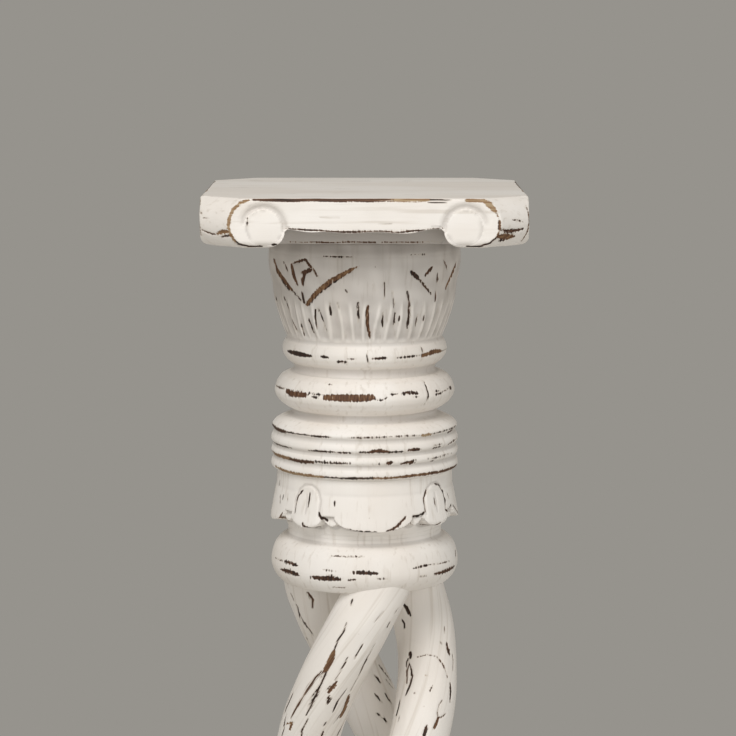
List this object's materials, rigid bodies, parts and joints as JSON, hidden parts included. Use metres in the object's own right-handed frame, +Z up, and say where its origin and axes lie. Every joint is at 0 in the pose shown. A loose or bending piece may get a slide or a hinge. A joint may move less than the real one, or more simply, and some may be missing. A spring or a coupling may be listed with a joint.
{
  "type": "display plinth",
  "caption": "Tall carved wooden display plinth with a scrolled square top, a turned capital, a petal collar, an open twisted shaft and a square plinth.",
  "frame": {"origin": "middle of the footprint, on the floor", "axes": "+Z up along the column's axis, +X to the right and -Y towards the front face of the scrolled top"},
  "size_m": [0.3, 0.3, 1],
  "materials": {
    "painted_wood": "white chalk paint brushed over brown-stained carved softwood-like albesia, rubbed back to bare wood along edges",
    "bare_wood": "plain turned dowel, unfinished",
    "screw_steel": "zinc-plated steel",
    "glide_nylon": "dark nylon"
  },
  "bodies": {
    "root": {"abacus_front_board": "painted_wood", "abacus_middle_board": "painted_wood", "abacus_back_board": "painted_wood", "abacus_dowels": "bare_wood", "cap_spigot": "bare_wood", "capital_drum": "painted_wood", "collar_spigot": "bare_wood", "petal_collar": "painted_wood", "twist_head": "painted_wood", "head_dowels": "bare_wood", "strand_a": "painted_wood", "strand_b": "painted_wood", "strand_c": "painted_wood", "foot_dowels": "bare_wood", "twist_foot": "painted_wood", "foot_spigot": "bare_wood", "foot_drum": "painted_wood", "plinth_front_board": "painted_wood", "plinth_middle_board": "painted_wood", "plinth_back_board": "painted_wood", "plinth_dowels": "bare_wood", "plinth_screws": "screw_steel", "floor_glides": "glide_nylon"}
  },
  "joints": []
}
